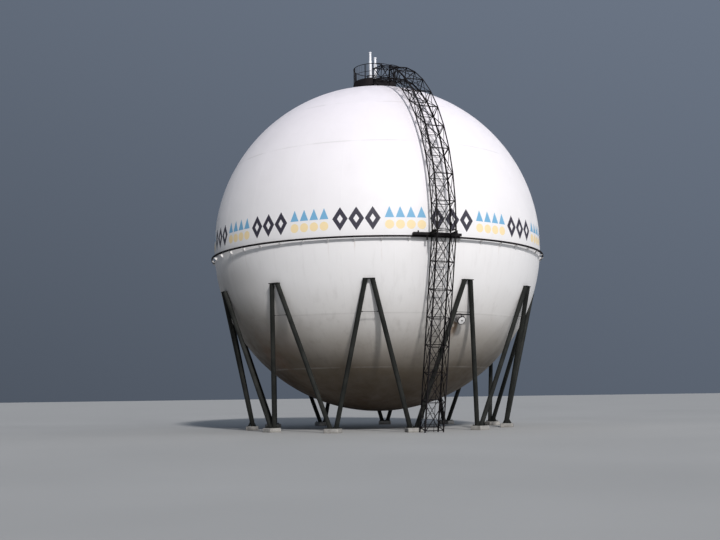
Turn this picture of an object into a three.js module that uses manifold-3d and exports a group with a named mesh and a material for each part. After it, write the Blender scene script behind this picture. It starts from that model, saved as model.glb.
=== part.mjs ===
// Spherical gas tank: a welded steel sphere on eleven pairs of leaning tubular legs, with a ring
// rail below the equator, a climbing gantry from the floor to the crown, and a round platform on top.
// Millimetres, +Z up, floor at z = 0, the gantry on the front (-Y) side.
import * as THREE from "three";
import { mergeVertices } from "three/addons/utils/BufferGeometryUtils.js";
import Module from "manifold-3d";

const wasm = await Module();
wasm.setup();

// Sphere
const shellRadius = 10600;
const shellThickness = 28;
const centreHeight = 11700;
const stepsAround = 44;
const capSeam = 48.6;
const beltSeam = 28;
const beltSteps = 8;
const zoneSteps = 3;
const capSteps = 5;

// Clearance left between pieces that touch, the overlap where bars of one piece are fused, the depth
// that a piece starts inside the shell before it is cut to it, and the reach of the cutting forms
const touchGap = 0.3;
const fuseLap = 2;
const shellSink = 200;
const farReach = 30000;

// Legs, eleven pairs that come together below the equator and share footings between the pairs
const pairCount = 11;
const legRadius = 136.5;
const legLean = 16;
const legSink = 34;
const legTopBelowTangent = 200;
const legTopSpacing = 400;
const legCapThickness = 40;
const legCapLip = 8;
const footSpacing = 390;
const legSides = 12;
const plateLap = 5;

// Footings and base plates
const footingWidth = 860;
const footingDepth = 780;
const footingHeight = 250;
const basePlateWidth = 380;
const basePlateDepth = 520;
const basePlateThickness = 30;

// Ring rail and its brackets
const ringRadius = 10760;
const ringWidth = 80;
const ringDepth = 100;
const ringDrop = 830;
const bracketCount = 44;
const bracketThickness = 40;
const bracketHeight = 180;
const bracketLap = 10;
const bracketTip = 50;

// Climbing gantry, a square lattice that leans outward to the equator and then follows the sphere
const gantryAzimuth = 21.6;
const gantryWidth = 1100;
const gantryInner = 11100;
const gantryDepth = 760;
const gantryLean = 12.5;
const chordSize = 75;
const braceSize = 45;
const diagonalSize = 36;
const diagonalInset = 20;
const faceInset = 40;
const lowerBays = 7;
const upperBays = 11;
const footInset = 200;
const splitInset = 110;
const arcInset = 0.35;
const chordReach = 200;
const arcReach = 1;
const ladderWidth = 520;
const stileSize = 50;
const stileLap = 8;
const rungSize = 28;
const rungPitch = 300;

// Landing, a narrow curved walkway that lies on the ring rail, with two beams that hold the gantry
const landingThickness = 150;
const landingTop = centreHeight - ringDrop + ringDepth / 2 + touchGap + landingThickness;
const landingInner = 10640;
const landingOuter = 10980;
const landingLeft = 8.25;
const landingRight = 6.85;
const landingSteps = 8;
const landingBeamWidth = 90;

// Crown platform
const deckRadius = 1450;
const deckFront = 1320;
const deckRise = 500;
const deckPlate = 60;
const deckBeamDepth = 300;
const deckBeamWidth = 90;
const deckSides = 24;
const deckPosts = 6;
const deckPostWidth = 120;
const deckPostDepth = 60;
const deckPostInset = 20;
const deckPostLap = 50;
const railHeight = 1100;
const railSize = 45;
const railSetback = 5;
const middleRail = 0.5;
const railPosts = 8;
const toeBoard = 120;

// Vent pipes on the crown
const tallVent = { x: -290, y: 20, radius: 100, neck: 75, shoulder: 2250, height: 2850 };
const shortVent = { x: 50, y: -260, radius: 95, neck: 75, shoulder: 1900, height: 2370 };
const ventSides = 16;
const ventClearance = 15;

// Manway on the lower half, between the legs of one pair
const manwayAzimuth = 360 / pairCount;
const manwayElevation = -29.5;
const manwayRadius = 200;
const manwayReach = 330;
const flangeRadius = 260;
const flangeThickness = 40;
const coverThickness = 60;
const manwaySides = 20;

const degree = Math.PI / 180;

// Materials, one for each named mesh
const paint = {
  shell: { color: 0xe6e5e3, roughness: 0.55, metalness: 0.0 },
  soiled: { color: 0x8d8882, roughness: 0.7, metalness: 0.0 },
  frame: { color: 0x2e2c2f, roughness: 0.6, metalness: 0.1 },
  concrete: { color: 0x9a968d, roughness: 0.95, metalness: 0.0 },
  vent: { color: 0xd9d9d6, roughness: 0.5, metalness: 0.0 },
};

function material(finish) {
  return new THREE.MeshStandardMaterial({ ...paint[finish], flatShading: true });
}

// Solids: geometry in, boolean work, geometry out
function solidOf(geometry) {
  const plain = geometry.clone();
  plain.deleteAttribute("normal");
  plain.deleteAttribute("uv");
  const merged = mergeVertices(plain, 1e-3);
  const mesh = new wasm.Mesh({
    numProp: 3,
    vertProperties: new Float32Array(merged.attributes.position.array),
    triVerts: new Uint32Array(merged.index.array),
  });
  return new wasm.Manifold(mesh);
}

function geometryOf(solid) {
  const mesh = solid.getMesh();
  const geometry = new THREE.BufferGeometry();
  geometry.setAttribute("position", new THREE.BufferAttribute(mesh.vertProperties, 3));
  geometry.setIndex(new THREE.BufferAttribute(mesh.triVerts, 1));
  return geometry;
}

function joined(geometries) {
  return geometries.map(solidOf).reduce((whole, piece) => whole.add(piece));
}

// A straight bar between two points, its thickness measured along the side direction
function bar(start, end, thickness, width, side) {
  const along = end.clone().sub(start);
  const length = along.length();
  const direction = along.normalize();
  const across = side.clone().addScaledVector(direction, -side.dot(direction)).normalize();
  const third = direction.clone().cross(across);
  const middle = start.clone().add(end).multiplyScalar(0.5);
  const pose = new THREE.Matrix4().makeBasis(across, third, direction).setPosition(middle);
  return new THREE.BoxGeometry(thickness, width, length).applyMatrix4(pose);
}

// An outline of [radius, height] points, made into a plate that stands in the radial plane at the front
function radialPlate(outline, thickness, across = 0) {
  const shape = new THREE.Shape(outline.map(([radius, height]) => new THREE.Vector2(radius, height)));
  const plate = new THREE.ExtrudeGeometry(shape, { depth: thickness, bevelEnabled: false });
  plate.translate(0, 0, -thickness / 2).rotateX(Math.PI / 2).rotateZ(-Math.PI / 2);
  return plate.translate(across, 0, 0);
}

// A box given by its two corners
function block(x0, x1, y0, y1, z0, z1) {
  const box = new THREE.BoxGeometry(x1 - x0, y1 - y0, z1 - z0);
  return box.translate((x0 + x1) / 2, (y0 + y1) / 2, (z0 + z1) / 2);
}

// An upright cylinder
function column(radius, z0, z1, sides, x = 0, y = 0) {
  const cylinder = new THREE.CylinderGeometry(radius, radius, z1 - z0, sides);
  return cylinder.rotateX(Math.PI / 2).translate(x, y, (z0 + z1) / 2);
}

// A ring of revolution about the vertical axis from a closed profile of [radius, height] points
function revolved(profile, steps) {
  const points = profile.map(([radius, height]) => new THREE.Vector2(radius, height));
  return new THREE.LatheGeometry(points, steps).rotateX(Math.PI / 2);
}

function squareRing(inner, outer, z0, z1, steps) {
  return revolved([[inner, z0], [outer, z0], [outer, z1], [inner, z1], [inner, z0]], steps);
}

const tank = new THREE.Group();

function place(name, geometry, finish, group = tank) {
  const mesh = new THREE.Mesh(geometry, material(finish));
  mesh.name = name;
  group.add(mesh);
  return mesh;
}

// A group turned about the tank's axis, so that its own front faces the given azimuth
function turned(azimuth) {
  const group = new THREE.Group();
  group.rotation.z = azimuth * degree;
  tank.add(group);
  return group;
}

// Sphere shell in five zones, each an open ring or dish of plates
function arcPoints(radius, from, to, steps) {
  const points = [];
  for (let step = 0; step <= steps; step += 1) {
    const angle = (from + ((to - from) * step) / steps) * degree;
    points.push([radius * Math.cos(angle), centreHeight + radius * Math.sin(angle)]);
  }
  return points;
}

function shellZone(from, to, steps) {
  const trim = touchGap / 2 / shellRadius / degree;
  const low = from === -90 ? from : from + trim;
  const high = to === 90 ? to : to - trim;
  const outer = arcPoints(shellRadius, low, high, steps);
  const inner = arcPoints(shellRadius - shellThickness, high, low, steps);
  if (from === -90) {
    outer[0][0] = 0;
    inner[steps][0] = 0;
    return revolved([...outer, ...inner], stepsAround);
  }
  if (to === 90) {
    outer[steps][0] = 0;
    inner[0][0] = 0;
    return revolved([...inner, ...outer], stepsAround);
  }
  return revolved([...outer, ...inner, outer[0]], stepsAround);
}

// The sphere as one solid, grown by the touch gap, that pieces seated on it are cut to
function shellForm() {
  const rim = [
    ...arcPoints(shellRadius + touchGap, -90, -capSeam, capSteps),
    ...arcPoints(shellRadius + touchGap, -capSeam, -beltSeam, zoneSteps).slice(1),
    ...arcPoints(shellRadius + touchGap, -beltSeam, beltSeam, beltSteps).slice(1),
    ...arcPoints(shellRadius + touchGap, beltSeam, capSeam, zoneSteps).slice(1),
    ...arcPoints(shellRadius + touchGap, capSeam, 90, capSteps).slice(1),
  ];
  rim[0][0] = 0;
  rim[rim.length - 1][0] = 0;
  return solidOf(revolved(rim, stepsAround));
}

const sphereForm = shellForm();

place("bottom_cap", shellZone(-90, -capSeam, capSteps), "soiled");
place("lower_belt", shellZone(-capSeam, -beltSeam, zoneSteps), "soiled");
place("equator_belt", shellZone(-beltSeam, beltSeam, beltSteps), "shell");
place("upper_belt", shellZone(beltSeam, capSeam, zoneSteps), "shell");
place("crown_cap", shellZone(capSeam, 90, capSteps), "shell");

// Legs: the plane of each pair touches the sphere below its equator
const legPlane = shellRadius + legRadius - legSink;
const tangentRadius = legPlane * Math.cos(legLean * degree);
const tangentHeight = centreHeight - legPlane * Math.sin(legLean * degree);
const legBottom = footingHeight + touchGap;

// A point in a pair's plane: across from its middle, and down the slope from the tangent point
function legPoint(across, down) {
  const radius = tangentRadius - down * Math.sin(legLean * degree);
  return new THREE.Vector3(across, -radius, tangentHeight - down * Math.cos(legLean * degree));
}

function legSolid(side) {
  const plateTop = legBottom + basePlateThickness;
  const downToPlate = (tangentHeight - plateTop) / Math.cos(legLean * degree);
  const footRadius = -legPoint(0, downToPlate).y;
  const halfTurn = (180 / pairCount) * degree;
  const footAcross = footRadius * Math.tan(halfTurn) - footSpacing / 2 / Math.cos(halfTurn);
  const top = legPoint((side * legTopSpacing) / 2, legTopBelowTangent);
  const foot = legPoint(side * footAcross, downToPlate);
  const run = foot.clone().sub(top).normalize();
  const start = top.clone().addScaledVector(run, -legRadius);
  const end = foot.clone().addScaledVector(run, legRadius);
  const length = end.distanceTo(start);
  const tube = new THREE.CylinderGeometry(legRadius, legRadius, length, legSides);
  const turn = new THREE.Quaternion().setFromUnitVectors(new THREE.Vector3(0, 1, 0), run);
  tube.applyQuaternion(turn).translate(...start.clone().add(end).multiplyScalar(0.5).toArray());

  const trimTop = block(-farReach, farReach, -farReach, 0, top.z, farReach);
  const trimFoot = block(-farReach, farReach, -farReach, 0, -farReach, plateTop - plateLap);
  const capSide = (side * (legTopSpacing / 2 + legRadius + legCapLip + touchGap / 2)) / 2;
  const capHalf = Math.abs(capSide) - touchGap / 2;
  const capFront = top.y - legRadius - legCapLip;
  const capBack = top.y + legRadius;
  const capTop = top.z + legCapThickness;
  const cap = block(capSide - capHalf, capSide + capHalf, capFront, capBack, top.z - fuseLap, capTop);
  const plate = new THREE.BoxGeometry(basePlateWidth, basePlateDepth, basePlateThickness);
  const plateMiddle = legBottom + basePlateThickness / 2;
  plate.translate(-side * footSpacing / 2, -footRadius / Math.cos(halfTurn), plateMiddle);
  plate.rotateZ(side * halfTurn);
  return solidOf(tube)
    .subtract(solidOf(trimTop))
    .subtract(solidOf(trimFoot))
    .add(solidOf(cap))
    .subtract(sphereForm)
    .add(solidOf(plate));
}

const legGeometry = { left: geometryOf(legSolid(-1)), right: geometryOf(legSolid(1)) };

for (let pair = 0; pair < pairCount; pair += 1) {
  const group = turned((360 / pairCount) * pair);
  const label = String(pair + 1).padStart(2, "0");
  place(`leg_${label}_left`, legGeometry.left, "frame", group);
  place(`leg_${label}_right`, legGeometry.right, "frame", group);
}

// Footings, one under the two legs of neighbouring pairs
const footingRadius = tangentRadius - ((tangentHeight - footingHeight) * Math.tan(legLean * degree));
const footingCentre = footingRadius / Math.cos((180 / pairCount) * degree);

for (let pair = 0; pair < pairCount; pair += 1) {
  const group = turned((360 / pairCount) * (pair + 0.5));
  const footing = new THREE.BoxGeometry(footingWidth, footingDepth, footingHeight);
  const mesh = place(`footing_${String(pair + 1).padStart(2, "0")}`, footing, "concrete", group);
  mesh.position.set(0, -footingCentre, footingHeight / 2);
}

// Ring rail on triangular brackets
function bracket() {
  const top = centreHeight - ringDrop - ringDepth / 2 + bracketLap;
  const root = shellRadius - shellSink;
  const under = [[root, top - bracketHeight], [ringRadius, top - bracketTip]];
  return radialPlate([...under, [ringRadius, top], [root, top]], bracketThickness);
}

function ringRail() {
  const low = centreHeight - ringDrop - ringDepth / 2;
  const inner = ringRadius - ringWidth / 2;
  let rail = solidOf(squareRing(inner, inner + ringWidth, low, low + ringDepth, stepsAround));
  for (let index = 0; index < bracketCount; index += 1) {
    const azimuth = (360 / bracketCount) * (index + 0.5);
    rail = rail.add(solidOf(bracket().rotateZ(azimuth * degree)));
  }
  return rail.subtract(sphereForm);
}

place("ring_rail", geometryOf(ringRail()), "frame");

// Gantry stations: each holds the centre of the lattice and the direction across its depth
const gantryMiddle = gantryInner + gantryDepth / 2;
const arcStart = Math.asin((landingTop - centreHeight) / gantryMiddle) / degree;
const arcEnd = Math.acos(deckFront / gantryInner) / degree;

function arcStation(angle) {
  const out = new THREE.Vector3(0, -Math.cos(angle * degree), Math.sin(angle * degree));
  const centre = out.clone().multiplyScalar(gantryMiddle).add(new THREE.Vector3(0, 0, centreHeight));
  return { centre, out };
}

function slopeStation(height) {
  const top = arcStation(arcStart).centre;
  const radius = -top.y - (landingTop - height) * Math.tan(gantryLean * degree);
  const out = new THREE.Vector3(0, -Math.cos(gantryLean * degree), -Math.sin(gantryLean * degree));
  return { centre: new THREE.Vector3(0, -radius, height), out };
}

function corner(station, acrossSide, depthSide) {
  const point = station.centre.clone().addScaledVector(station.out, (depthSide * gantryDepth) / 2);
  point.x += (acrossSide * gantryWidth) / 2;
  return point;
}

const acrossAxis = new THREE.Vector3(1, 0, 0);

// A chord or stile that follows the stations at one offset across the depth, in one piece
function runner(stations, depthOffset, across, size) {
  const edge = (offset) => stations.map((station) => {
    const point = station.centre.clone().addScaledVector(station.out, offset);
    return [-point.y, point.z];
  });
  const outline = [...edge(depthOffset + size / 2), ...edge(depthOffset - size / 2).reverse()];
  return radialPlate(outline, size, across);
}

// A chord pair with the ties and diagonals of one side
function sideFrame(stations, chordStations, acrossSide) {
  const bars = [-1, 1].map((depthSide) => {
    return runner(chordStations, (depthSide * gantryDepth) / 2, (acrossSide * gantryWidth) / 2, chordSize);
  });
  stations.forEach((station, index) => {
    const inner = corner(station, acrossSide, -1);
    bars.push(bar(inner, corner(station, acrossSide, 1), braceSize, braceSize, acrossAxis));
    if (index < stations.length - 1) {
      const lean = index % 2 === 0 ? 1 : -1;
      const low = corner(station, acrossSide, lean);
      const high = corner(stations[index + 1], acrossSide, -lean);
      const inset = high.clone().sub(low).normalize().multiplyScalar(diagonalInset);
      bars.push(bar(low.add(inset), high.sub(inset), diagonalSize, diagonalSize, acrossAxis));
    }
  });
  return bars;
}

// Cross bars between the two sides, on the inner or the outer face
const crossHalf = (gantryWidth - chordSize) / 2 - touchGap;

function crossPoint(station, depth, across) {
  const point = station.centre.clone().addScaledVector(station.out, depth);
  point.x += across;
  return point;
}

function crossBars(stations, depthSide) {
  const depth = (depthSide * gantryDepth) / 2;
  return stations.map((station) => {
    const left = crossPoint(station, depth, -crossHalf);
    return bar(left, crossPoint(station, depth, crossHalf), braceSize, braceSize, station.out);
  });
}

function outerFace(stations) {
  const bars = crossBars(stations, 1);
  for (let index = 0; index < stations.length - 1; index += 1) {
    const lean = (index % 2 === 0 ? 1 : -1) * (crossHalf - faceInset);
    const low = crossPoint(stations[index], gantryDepth / 2, lean);
    const high = crossPoint(stations[index + 1], gantryDepth / 2, -lean);
    bars.push(bar(low, high, diagonalSize, diagonalSize, stations[index].out));
  }
  return bars;
}

// Ladder on the inner face, its stiles fixed to the cross bars there
function ladderFace(stations, chordStations) {
  const inset = -gantryDepth / 2 + (braceSize + stileSize) / 2 - stileLap;
  const bars = crossBars(stations, -1);
  [-1, 1].forEach((side) => {
    bars.push(runner(chordStations, inset, (side * ladderWidth) / 2, stileSize));
  });
  const half = new THREE.Vector3(ladderWidth / 2, 0, 0);
  for (let index = 0; index < stations.length - 1; index += 1) {
    const low = crossPoint(stations[index], inset, 0);
    const high = crossPoint(stations[index + 1], inset, 0);
    const rungs = Math.round(low.distanceTo(high) / rungPitch);
    for (let rung = 0; rung < rungs; rung += 1) {
      const middle = low.clone().lerp(high, (rung + 0.5) / rungs);
      const left = middle.clone().sub(half);
      bars.push(bar(left, middle.clone().add(half), rungSize, rungSize, stations[index].out));
    }
  }
  return bars;
}

const slopeStations = [];
for (let bay = 0; bay <= lowerBays; bay += 1) {
  slopeStations.push(slopeStation(footInset + ((landingTop - splitInset - footInset) * bay) / lowerBays));
}
const slopeChords = [slopeStation(-chordReach), slopeStation(landingTop + chordReach)];
const arcStations = [];
for (let bay = 0; bay <= upperBays; bay += 1) {
  const low = arcStart + arcInset;
  arcStations.push(arcStation(low + ((arcEnd - low) * bay) / upperBays));
}
const arcChords = [arcStation(arcStart - arcReach), ...arcStations, arcStation(arcEnd + arcReach)];

// The lower section stands on the floor and the arch stands on it, up to the front of the crown deck
const gantryGroup = turned(gantryAzimuth);
const lowerTop = landingTop - touchGap;
const archBack = -deckFront - touchGap;
const offFloor = solidOf(block(-farReach, farReach, -farReach, farReach, 0, lowerTop));
const offLanding = solidOf(block(-farReach, farReach, -farReach, archBack, landingTop, farReach));

function gantrySection(label, stations, chordStations, room) {
  const pieces = {
    left_side: sideFrame(stations, chordStations, -1),
    right_side: sideFrame(stations, chordStations, 1),
    outer_face: outerFace(stations),
    ladder: ladderFace(stations, chordStations),
  };
  Object.entries(pieces).forEach(([name, bars]) => {
    place(`gantry_${label}_${name}`, geometryOf(joined(bars).intersect(room)), "frame", gantryGroup);
  });
}

gantrySection("lower", slopeStations, slopeChords, offFloor);
gantrySection("arch", arcStations, arcChords, offLanding);

// Landing: the curved walkway on the ring rail and the two beams beside the gantry's chords
function landingArc(radius) {
  const points = [];
  for (let step = 0; step <= landingSteps; step += 1) {
    const angle = (((landingLeft + landingRight) * step) / landingSteps - landingLeft) * degree;
    points.push(new THREE.Vector2(radius * Math.sin(angle), -radius * Math.cos(angle)));
  }
  return points;
}

function landingSolid() {
  const low = landingTop - landingThickness;
  const outline = new THREE.Shape([...landingArc(landingOuter), ...landingArc(landingInner).reverse()]);
  const walkway = new THREE.ExtrudeGeometry(outline, { depth: landingThickness, bevelEnabled: false });
  const beamNear = (gantryWidth + chordSize) / 2 + touchGap;
  const beamFar = beamNear + landingBeamWidth;
  const beamFront = corner(arcStations[0], 1, 1).y - chordSize / 2;
  const beamBack = -landingOuter + landingBeamWidth;
  return joined([
    walkway.translate(0, 0, low),
    block(-beamFar, -beamNear, beamFront, beamBack, low, landingTop),
    block(beamNear, beamFar, beamFront, beamBack, low, landingTop),
  ]);
}

place("ring_landing", geometryOf(landingSolid()), "frame", gantryGroup);

// Crown platform: a round deck on a ring beam and short posts down to the sphere
const deckTop = centreHeight + shellRadius + deckRise;

function ventHoles() {
  return [tallVent, shortVent].map((vent) => {
    const hole = column(vent.radius + ventClearance, centreHeight, farReach, ventSides, vent.x, vent.y);
    return solidOf(hole.rotateZ(-gantryAzimuth * degree));
  });
}

function deckSolid() {
  const plateLow = deckTop - deckPlate;
  let deck = solidOf(column(deckRadius, plateLow, deckTop, deckSides));
  const beamLow = plateLow - deckBeamDepth;
  const beamInner = deckRadius - deckBeamWidth;
  const beam = squareRing(beamInner, deckRadius, beamLow, plateLow + fuseLap, deckSides);
  deck = deck.add(solidOf(beam));
  const postFront = -deckRadius + deckPostInset;
  for (let post = 0; post < deckPosts; post += 1) {
    const half = deckPostWidth / 2;
    const postBack = postFront + deckPostDepth;
    const leg = block(-half, half, postFront, postBack, centreHeight, plateLow - deckPostLap);
    deck = deck.add(solidOf(leg.rotateZ(((2 * Math.PI) / deckPosts) * (post + 0.5))));
  }
  ventHoles().forEach((hole) => {
    deck = deck.subtract(hole);
  });
  const ahead = block(-farReach, farReach, -farReach, -deckFront, 0, farReach);
  return deck.subtract(solidOf(ahead)).subtract(sphereForm.rotate([0, 0, -gantryAzimuth]));
}

place("crown_deck", geometryOf(deckSolid()), "frame", gantryGroup);

function railingSolid() {
  const outer = deckRadius - railSetback;
  const inner = outer - railSize;
  const base = deckTop + touchGap;
  const top = deckTop + railHeight;
  const middle = deckTop + railHeight * middleRail;
  const half = railSize / 2;
  const halfWidth = (gantryWidth + chordSize) / 2 + touchGap;
  const entryTurn = Math.asin((halfWidth + half) / (outer - half));
  const turns = [entryTurn, -entryTurn];
  for (let post = 1; post < railPosts; post += 1) {
    turns.push(((2 * Math.PI) / railPosts) * post);
  }
  const uprights = turns.map((turn) => {
    return block(-half, half, -outer + fuseLap, -inner + fuseLap, base, top - fuseLap).rotateZ(turn);
  });
  const middleHoop = squareRing(inner, outer, middle, middle + railSize, deckSides);
  const toeHoop = squareRing(inner + half, outer, base, deckTop + toeBoard, deckSides);
  const entry = block(-halfWidth, halfWidth, -farReach, 0, 0, farReach);
  const topHoop = squareRing(inner, outer, top - railSize, top, deckSides);
  return joined([middleHoop, toeHoop, ...uprights]).subtract(solidOf(entry)).add(solidOf(topHoop));
}

place("platform_railing", geometryOf(railingSolid()), "frame", gantryGroup);

// Vent pipes rise from the crown through the deck, each narrower above its shoulder
function ventSolid(vent) {
  const crown = centreHeight + shellRadius;
  const lower = column(vent.radius, crown - shellSink, crown + vent.shoulder, ventSides, vent.x, vent.y);
  const upper = column(vent.neck, crown, crown + vent.height, ventSides, vent.x, vent.y);
  return joined([lower, upper]).subtract(sphereForm);
}

place("vent_tall", geometryOf(ventSolid(tallVent)), "vent");
place("vent_short", geometryOf(ventSolid(shortVent)), "vent");

// Manway: a short neck with a flange, closed by a cover
function radialDisc(radius, near, far) {
  const disc = new THREE.CylinderGeometry(radius, radius, far - near, manwaySides);
  return disc.translate(0, -(near + far) / 2, 0);
}

function manwayPlace(geometry) {
  geometry.rotateX(-manwayElevation * degree).rotateZ(manwayAzimuth * degree);
  return geometry.translate(0, 0, centreHeight);
}

function manwayNeck() {
  const far = shellRadius + manwayReach;
  const neck = radialDisc(manwayRadius, shellRadius - shellSink, far - fuseLap);
  const flange = radialDisc(flangeRadius, far - flangeThickness, far);
  return joined([neck, flange].map(manwayPlace)).subtract(sphereForm);
}

const coverNear = shellRadius + manwayReach + touchGap;
const cover = manwayPlace(radialDisc(flangeRadius, coverNear, coverNear + coverThickness));
place("manway_neck", geometryOf(manwayNeck()), "shell");
place("manway_cover", cover, "frame");

// The frame's origin is on the floor, at the middle of the whole tank's plan
const extent = new THREE.Box3().setFromObject(tank, true);
tank.position.y = -(extent.min.y + extent.max.y) / 2;

export default tank;
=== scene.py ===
"""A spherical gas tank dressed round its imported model: metres, +Z up, the gantry towards the front."""
from math import acos, asin, copysign, cos, degrees, pi, radians, sin, sqrt, tan

import bmesh
import bpy
from mathutils import Matrix, Vector


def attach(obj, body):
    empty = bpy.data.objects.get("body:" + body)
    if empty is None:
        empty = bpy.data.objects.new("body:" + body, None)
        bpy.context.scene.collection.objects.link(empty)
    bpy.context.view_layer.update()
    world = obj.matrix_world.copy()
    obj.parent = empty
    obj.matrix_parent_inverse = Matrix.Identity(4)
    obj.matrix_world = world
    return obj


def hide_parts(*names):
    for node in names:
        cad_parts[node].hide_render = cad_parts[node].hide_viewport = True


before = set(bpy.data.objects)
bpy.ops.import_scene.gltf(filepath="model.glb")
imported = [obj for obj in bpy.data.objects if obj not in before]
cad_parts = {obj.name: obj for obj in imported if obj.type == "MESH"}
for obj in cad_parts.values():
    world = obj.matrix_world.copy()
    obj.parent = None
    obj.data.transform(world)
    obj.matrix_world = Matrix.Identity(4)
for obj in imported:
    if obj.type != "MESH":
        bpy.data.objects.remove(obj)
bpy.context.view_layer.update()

# Sphere
CENTRE = Vector((0.0, 0.2492085, 11.7))
RADIUS = 10.6
PLATE = 0.028
TOUCH = 0.0003
CAP_SEAM = 48.6
BELT_SEAM = 28.0
LEVEL_SEAMS = (-CAP_SEAM, -BELT_SEAM, BELT_SEAM, CAP_SEAM)
CAP_SEAM_OFFSET = 2.35
SHELL_STEPS = 176
BELT_PETALS = 22
WELD_HALF = 0.018
WELD_HEIGHT = 0.004
WELD_SINK = 0.002

# Legs
PAIRS = 11
PAIR_TURN = 360.0 / PAIRS
HALF_TURN = radians(180.0 / PAIRS)
LEG_RADIUS = 0.1365
LEG_SINK = 0.034
LEG_LEAN = radians(16.0)
LEG_PLANE = RADIUS + LEG_RADIUS - LEG_SINK
LEG_TOP = 0.2
LEG_SPREAD = 0.2
LEG_SIDES = 32
LEG_MARKS = [0.06 * step for step in range(24)] + [1.6, 2.4, 3.6, 5.2, 7.0]
LEG_CAP = 0.04
LEG_CAP_LIP = 0.008
LEG_CAP_STEPS = 8
FOOT_SPACING = 0.39
FOOTING = (0.86, 0.78, 0.25)
CHAMFER = 0.03
BASE_PLATE = (0.38, 0.52, 0.03)
BOLT_INSET = (0.045, 0.05)
BOLT_HEIGHT = 0.07
NUT_RADIUS = 0.028
NUT_HEIGHT = 0.028
RIB_START = 0.12
RIB_INSET = 0.02
RIB_LOW = 0.03
RIB_HIGH = 0.26
RIB_HALF = 0.007

# Rods between the two legs of a pair
TIE_DOWN = 2.06
TIE_ROD = 0.012
TIE_END = 0.14
LIFTING_DOWN = 2.2
LIFTING_BAR = 0.035
ROD_GRIP = 0.08

# Ring rail
RING_RADIUS = 10.76
RING_HEIGHT = 10.87
RING_HALF_WIDTH = 0.04
RING_HALF_DEPTH = 0.05
RING_WALL = 0.01
BRACKETS = 44
BRACKET_DROP = 0.18
BRACKET_TIP = RING_RADIUS + 0.03
BRACKET_NOSE = 0.04
BRACKET_HALF = 0.008
BRACKET_SINK = 0.004

# Gantry
GANTRY_AZIMUTH = 21.6
GANTRY_MIDDLE = 11.48
HALF_WIDTH = 0.55
HALF_DEPTH = 0.38
GANTRY_LEAN = radians(12.5)
GANTRY_FOOT = 0.2
GANTRY_SPLIT_INSET = 0.11
ARCH_INSET = 0.35
LOWER_BAYS = 7
ARCH_BAYS = 11
CHORD = 0.075
CHORD_WALL = 0.009
TIE = 0.045
TIE_WALL = 0.006
DIAGONAL = 0.036
DIAGONAL_WALL = 0.005
DIAGONAL_INSET = 0.03
CROSSING_SHIFT = 0.006
GUSSET = (0.12, 0.15)
GUSSET_HALF = 0.004
GUSSET_INSET = 0.05
LADDER_HALF = 0.26
LADDER_DEPTH = -0.3405
STRINGER = (0.012, 0.05)
RUNG_PITCH = 0.3
RUNG_RADIUS = 0.01

# Landing
LANDING_LOW = RING_HEIGHT + RING_HALF_DEPTH + TOUCH
LANDING_TOP = LANDING_LOW + 0.15
LANDING_INNER = 10.64
LANDING_OUTER = 10.98
LANDING_LEFT = 8.25
LANDING_RIGHT = 6.85
LANDING_BEAM = 0.09
WALK_STEPS = 24
WALK_PLATE = 0.008
WALK_WALL = 0.01
WALK_FLANGE = 0.05
WALK_RIBS = 9
WALK_RIB = (0.012, 0.13)

# Crown platform
DECK_TOP = CENTRE.z + RADIUS + 0.5
DECK_RADIUS = 1.45
DECK_FRONT = 1.32
DECK_STEPS = 72
DECK_PLATE = 0.012
DECK_BEAM = 0.3
DECK_GAP = 0.06
DECK_FLANGE = 0.09
DECK_JOIST = (0.05, 0.16)
DECK_JOISTS = (-0.75, 0.0, 0.75)
JOIST_REACH = 1.35
DECK_POSTS = 6
DECK_POST_RADIUS = 1.4
RAIL_HEIGHT = 1.1
RAIL_RADIUS = 1.4225
RAIL_BAR = 0.045
MIDDLE_RAIL = 0.57
MIDDLE_BAR = 0.014
TOE_BOARD = 0.12
INFILL_TURN = 7.5
INFILL_BAR = 0.008
ENTRY_HALF = HALF_WIDTH + CHORD / 2

# Vents on the crown: name, x, y from the axis, radius, shoulder and height above the crown
VENT_NECK = 0.075
VENTS = (
    ("vent_tall", -0.29, 0.02, 0.1, 2.25, 2.85),
    ("vent_short", 0.05, -0.26, 0.095, 1.9, 2.37),
)

# Manway
MANWAY_AZIMUTH = PAIR_TURN
MANWAY_ELEVATION = -29.5
MANWAY_REACH = 0.33
NECK_RADIUS = 0.2
PAD_RADIUS = 0.3
FLANGE_RADIUS = 0.26
FLANGE_THICKNESS = 0.04
COVER_THICKNESS = 0.05
COVER_BOLTS = 16
COVER_BOLT_CIRCLE = 0.243

# Paint colours, with some tones that are painted shade or highlight
# White paint whose pink tint is a painted highlight, laid on the top of the shell
PINK_HIGHLIGHT_WHITE = (0.815, 0.768, 0.812)
DARK_PAINT = (0.010, 0.0085, 0.0095)
DARK_WORN = (0.030, 0.026, 0.028)
DARK_RUNS = (0.050, 0.047, 0.044)
LEG_PAINT = (0.013, 0.014, 0.0125)
LEG_WORN = (0.040, 0.042, 0.038)
RUST = (0.11, 0.045, 0.02)
SLATE = (0.040, 0.036, 0.052)
BAND_BLUE = (0.17, 0.40, 0.60)
BAND_YELLOW = (0.86, 0.69, 0.40)
STREAK_TONE = (0.30, 0.27, 0.24)
PATCH_TONE = (0.52, 0.50, 0.47)
SEAM_TONE = (0.42, 0.40, 0.38)
# Painted shade laid over the left side of the shell below the ring
LEFT_SHADE_TONE = (0.55, 0.54, 0.53)
WARM_RUST = (0.17, 0.085, 0.045)
BRACKET_RUST = (0.36, 0.25, 0.17)
MANWAY_RUST = (0.145, 0.080, 0.035)
FITTING_RUST = (0.34, 0.22, 0.14)

UP = Vector((0.0, 0.0, 1.0))
SIDES = ((-1, "left"), (1, "right"))


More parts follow.
